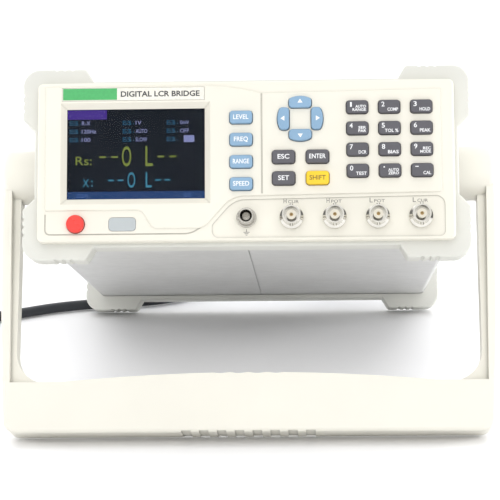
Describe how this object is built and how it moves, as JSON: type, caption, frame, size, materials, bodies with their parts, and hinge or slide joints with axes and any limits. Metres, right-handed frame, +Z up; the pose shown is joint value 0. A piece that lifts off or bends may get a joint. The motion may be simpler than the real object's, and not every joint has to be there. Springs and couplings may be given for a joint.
{
  "type": "LCR meter",
  "caption": "Half-width bench component meter with colour screen, keypad and BNC jacks, tilted back on its swivelling handle, with a coiled mains lead.",
  "frame": {"origin": "on the table, under the middle of the instrument's footprint, its lead left out", "axes": "+Z up; +X to the user's right; +Y away from the user, from the front panel towards the rear. The instrument stands tilted back on its handle, as in use, so the case's own axes are turned 19.5 degrees about X"},
  "size_m": [0.4208, 0.4213, 0.1963],
  "materials": {
    "panel_plastic": "cream moulded ABS, very fine grain",
    "handle_plastic": "cream moulded plastic, fine grain",
    "bumper_rubber": "pale greenish grey soft plastic, matte",
    "sleeve_paint": "grey powder paint on sheet steel",
    "rear_paint": "grey powder paint on sheet steel",
    "tray_steel": "plain zinc-plated sheet",
    "strip_film": "printed plastic film",
    "cover_plastic": "pale grey-blue moulded plastic",
    "window_clear": "clear acrylic window",
    "lcd_face": "dark liquid crystal panel",
    "key_blue": "light blue silicone rubber",
    "key_grey": "dark grey silicone rubber",
    "key_yellow": "yellow silicone rubber",
    "button_red": "red moulded plastic",
    "membrane_rubber": "pale silicone rubber",
    "board_green": "green circuit board",
    "switch_black": "black moulded plastic",
    "jack_nickel": "bright nickel plate on brass",
    "terminal_nickel": "dull nickel plate on brass",
    "insulator_cream": "off-white insulating plastic",
    "contact_gold": "gold-plated brass",
    "screw_zinc": "zinc-plated steel",
    "pivot_plastic": "dark acetal",
    "inlet_black": "black moulded plastic",
    "port_metal": "tin-plated steel",
    "standoff_brass": "brass",
    "transformer_core": "laminated core and coil",
    "cord_black": "black PVC, satin",
    "plug_black": "black PVC, satin",
    "strap_black": "woven hook-and-loop strap"
  },
  "bodies": {
    "case": {"front_panel": "panel_plastic", "label_strip": "strip_film", "port_cover": "cover_plastic", "lcd_window": "window_clear", "lcd_module": "lcd_face", "key_membrane": "membrane_rubber", "key_board": "board_green", "power_switch": "switch_black", "bnc_bodies": "jack_nickel", "bnc_insulators": "insulator_cream", "bnc_contacts": "contact_gold", "ground_terminal": "terminal_nickel", "panel_nuts": "jack_nickel", "case_sleeve": "sleeve_paint", "front_bumper": "bumper_rubber", "rear_bumper": "bumper_rubber", "rear_panel": "rear_paint", "case_screws": "screw_zinc", "mains_inlet": "inlet_black", "fuse_drawer": "inlet_black", "serial_port": "port_metal", "chassis_tray": "tray_steel", "main_board": "board_green", "power_board": "board_green", "board_standoffs": "standoff_brass", "transformer": "transformer_core", "pivot_bases": "pivot_plastic", "pivot_screws": "screw_zinc", "cord_connector": "plug_black", "mains_cord": "cord_black", "cord_coil": "cord_black", "cord_tie": "strap_black", "mains_plug": "plug_black"},
    "key_level": {"key_level": "key_blue"},
    "key_freq": {"key_freq": "key_blue"},
    "key_range": {"key_range": "key_blue"},
    "key_speed": {"key_speed": "key_blue"},
    "key_esc": {"key_esc": "key_grey"},
    "key_enter": {"key_enter": "key_grey"},
    "key_set": {"key_set": "key_grey"},
    "key_shift": {"key_shift": "key_yellow"},
    "key_1": {"key_1": "key_grey"},
    "key_2": {"key_2": "key_grey"},
    "key_3": {"key_3": "key_grey"},
    "key_4": {"key_4": "key_grey"},
    "key_5": {"key_5": "key_grey"},
    "key_6": {"key_6": "key_grey"},
    "key_7": {"key_7": "key_grey"},
    "key_8": {"key_8": "key_grey"},
    "key_9": {"key_9": "key_grey"},
    "key_0": {"key_0": "key_grey"},
    "key_dot": {"key_dot": "key_grey"},
    "key_minus": {"key_minus": "key_grey"},
    "key_right": {"key_right": "key_blue"},
    "key_up": {"key_up": "key_blue"},
    "key_left": {"key_left": "key_blue"},
    "key_down": {"key_down": "key_blue"},
    "power_button": {"power_button": "button_red"},
    "handle": {"handle": "handle_plastic"}
  },
  "joints": [
    {"name": "key_level_press", "type": "slide", "parent": "case", "child": "key_level", "axis": [0, 0.9426, -0.3338], "range_m": [0, 0.0012], "stiffness_N_per_m": 350, "springref_m": -0.002},
    {"name": "key_freq_press", "type": "slide", "parent": "case", "child": "key_freq", "axis": [0, 0.9426, -0.3338], "range_m": [0, 0.0012], "stiffness_N_per_m": 350, "springref_m": -0.002},
    {"name": "key_range_press", "type": "slide", "parent": "case", "child": "key_range", "axis": [0, 0.9426, -0.3338], "range_m": [0, 0.0012], "stiffness_N_per_m": 350, "springref_m": -0.002},
    {"name": "key_speed_press", "type": "slide", "parent": "case", "child": "key_speed", "axis": [0, 0.9426, -0.3338], "range_m": [0, 0.0012], "stiffness_N_per_m": 350, "springref_m": -0.002},
    {"name": "key_esc_press", "type": "slide", "parent": "case", "child": "key_esc", "axis": [0, 0.9426, -0.3338], "range_m": [0, 0.0012], "stiffness_N_per_m": 350, "springref_m": -0.002},
    {"name": "key_enter_press", "type": "slide", "parent": "case", "child": "key_enter", "axis": [0, 0.9426, -0.3338], "range_m": [0, 0.0012], "stiffness_N_per_m": 350, "springref_m": -0.002},
    {"name": "key_set_press", "type": "slide", "parent": "case", "child": "key_set", "axis": [0, 0.9426, -0.3338], "range_m": [0, 0.0012], "stiffness_N_per_m": 350, "springref_m": -0.002},
    {"name": "key_shift_press", "type": "slide", "parent": "case", "child": "key_shift", "axis": [0, 0.9426, -0.3338], "range_m": [0, 0.0012], "stiffness_N_per_m": 350, "springref_m": -0.002},
    {"name": "key_1_press", "type": "slide", "parent": "case", "child": "key_1", "axis": [0, 0.9426, -0.3338], "range_m": [0, 0.0012], "stiffness_N_per_m": 350, "springref_m": -0.002},
    {"name": "key_2_press", "type": "slide", "parent": "case", "child": "key_2", "axis": [0, 0.9426, -0.3338], "range_m": [0, 0.0012], "stiffness_N_per_m": 350, "springref_m": -0.002},
    {"name": "key_3_press", "type": "slide", "parent": "case", "child": "key_3", "axis": [0, 0.9426, -0.3338], "range_m": [0, 0.0012], "stiffness_N_per_m": 350, "springref_m": -0.002},
    {"name": "key_4_press", "type": "slide", "parent": "case", "child": "key_4", "axis": [0, 0.9426, -0.3338], "range_m": [0, 0.0012], "stiffness_N_per_m": 350, "springref_m": -0.002},
    {"name": "key_5_press", "type": "slide", "parent": "case", "child": "key_5", "axis": [0, 0.9426, -0.3338], "range_m": [0, 0.0012], "stiffness_N_per_m": 350, "springref_m": -0.002},
    {"name": "key_6_press", "type": "slide", "parent": "case", "child": "key_6", "axis": [0, 0.9426, -0.3338], "range_m": [0, 0.0012], "stiffness_N_per_m": 350, "springref_m": -0.002},
    {"name": "key_7_press", "type": "slide", "parent": "case", "child": "key_7", "axis": [0, 0.9426, -0.3338], "range_m": [0, 0.0012], "stiffness_N_per_m": 350, "springref_m": -0.002},
    {"name": "key_8_press", "type": "slide", "parent": "case", "child": "key_8", "axis": [0, 0.9426, -0.3338], "range_m": [0, 0.0012], "stiffness_N_per_m": 350, "springref_m": -0.002},
    {"name": "key_9_press", "type": "slide", "parent": "case", "child": "key_9", "axis": [0, 0.9426, -0.3338], "range_m": [0, 0.0012], "stiffness_N_per_m": 350, "springref_m": -0.002},
    {"name": "key_0_press", "type": "slide", "parent": "case", "child": "key_0", "axis": [0, 0.9426, -0.3338], "range_m": [0, 0.0012], "stiffness_N_per_m": 350, "springref_m": -0.002},
    {"name": "key_dot_press", "type": "slide", "parent": "case", "child": "key_dot", "axis": [0, 0.9426, -0.3338], "range_m": [0, 0.0012], "stiffness_N_per_m": 350, "springref_m": -0.002},
    {"name": "key_minus_press", "type": "slide", "parent": "case", "child": "key_minus", "axis": [0, 0.9426, -0.3338], "range_m": [0, 0.0012], "stiffness_N_per_m": 350, "springref_m": -0.002},
    {"name": "key_right_press", "type": "slide", "parent": "case", "child": "key_right", "axis": [0, 0.9426, -0.3338], "range_m": [0, 0.0012], "stiffness_N_per_m": 350, "springref_m": -0.002},
    {"name": "key_up_press", "type": "slide", "parent": "case", "child": "key_up", "axis": [0, 0.9426, -0.3338], "range_m": [0, 0.0012], "stiffness_N_per_m": 350, "springref_m": -0.002},
    {"name": "key_left_press", "type": "slide", "parent": "case", "child": "key_left", "axis": [0, 0.9426, -0.3338], "range_m": [0, 0.0012], "stiffness_N_per_m": 350, "springref_m": -0.002},
    {"name": "key_down_press", "type": "slide", "parent": "case", "child": "key_down", "axis": [0, 0.9426, -0.3338], "range_m": [0, 0.0012], "stiffness_N_per_m": 350, "springref_m": -0.002},
    {"name": "power_press", "type": "slide", "parent": "case", "child": "power_button", "axis": [0, 0.9426, -0.3338], "range_m": [0, 0.003], "stiffness_N_per_m": 400, "springref_m": -0.003},
    {"name": "handle_swing", "type": "hinge", "parent": "case", "child": "handle", "pos_m": [0, -0.09347, 0.13352], "axis": [1, 0, 0], "range_deg": [-234, 66]}
  ]
}
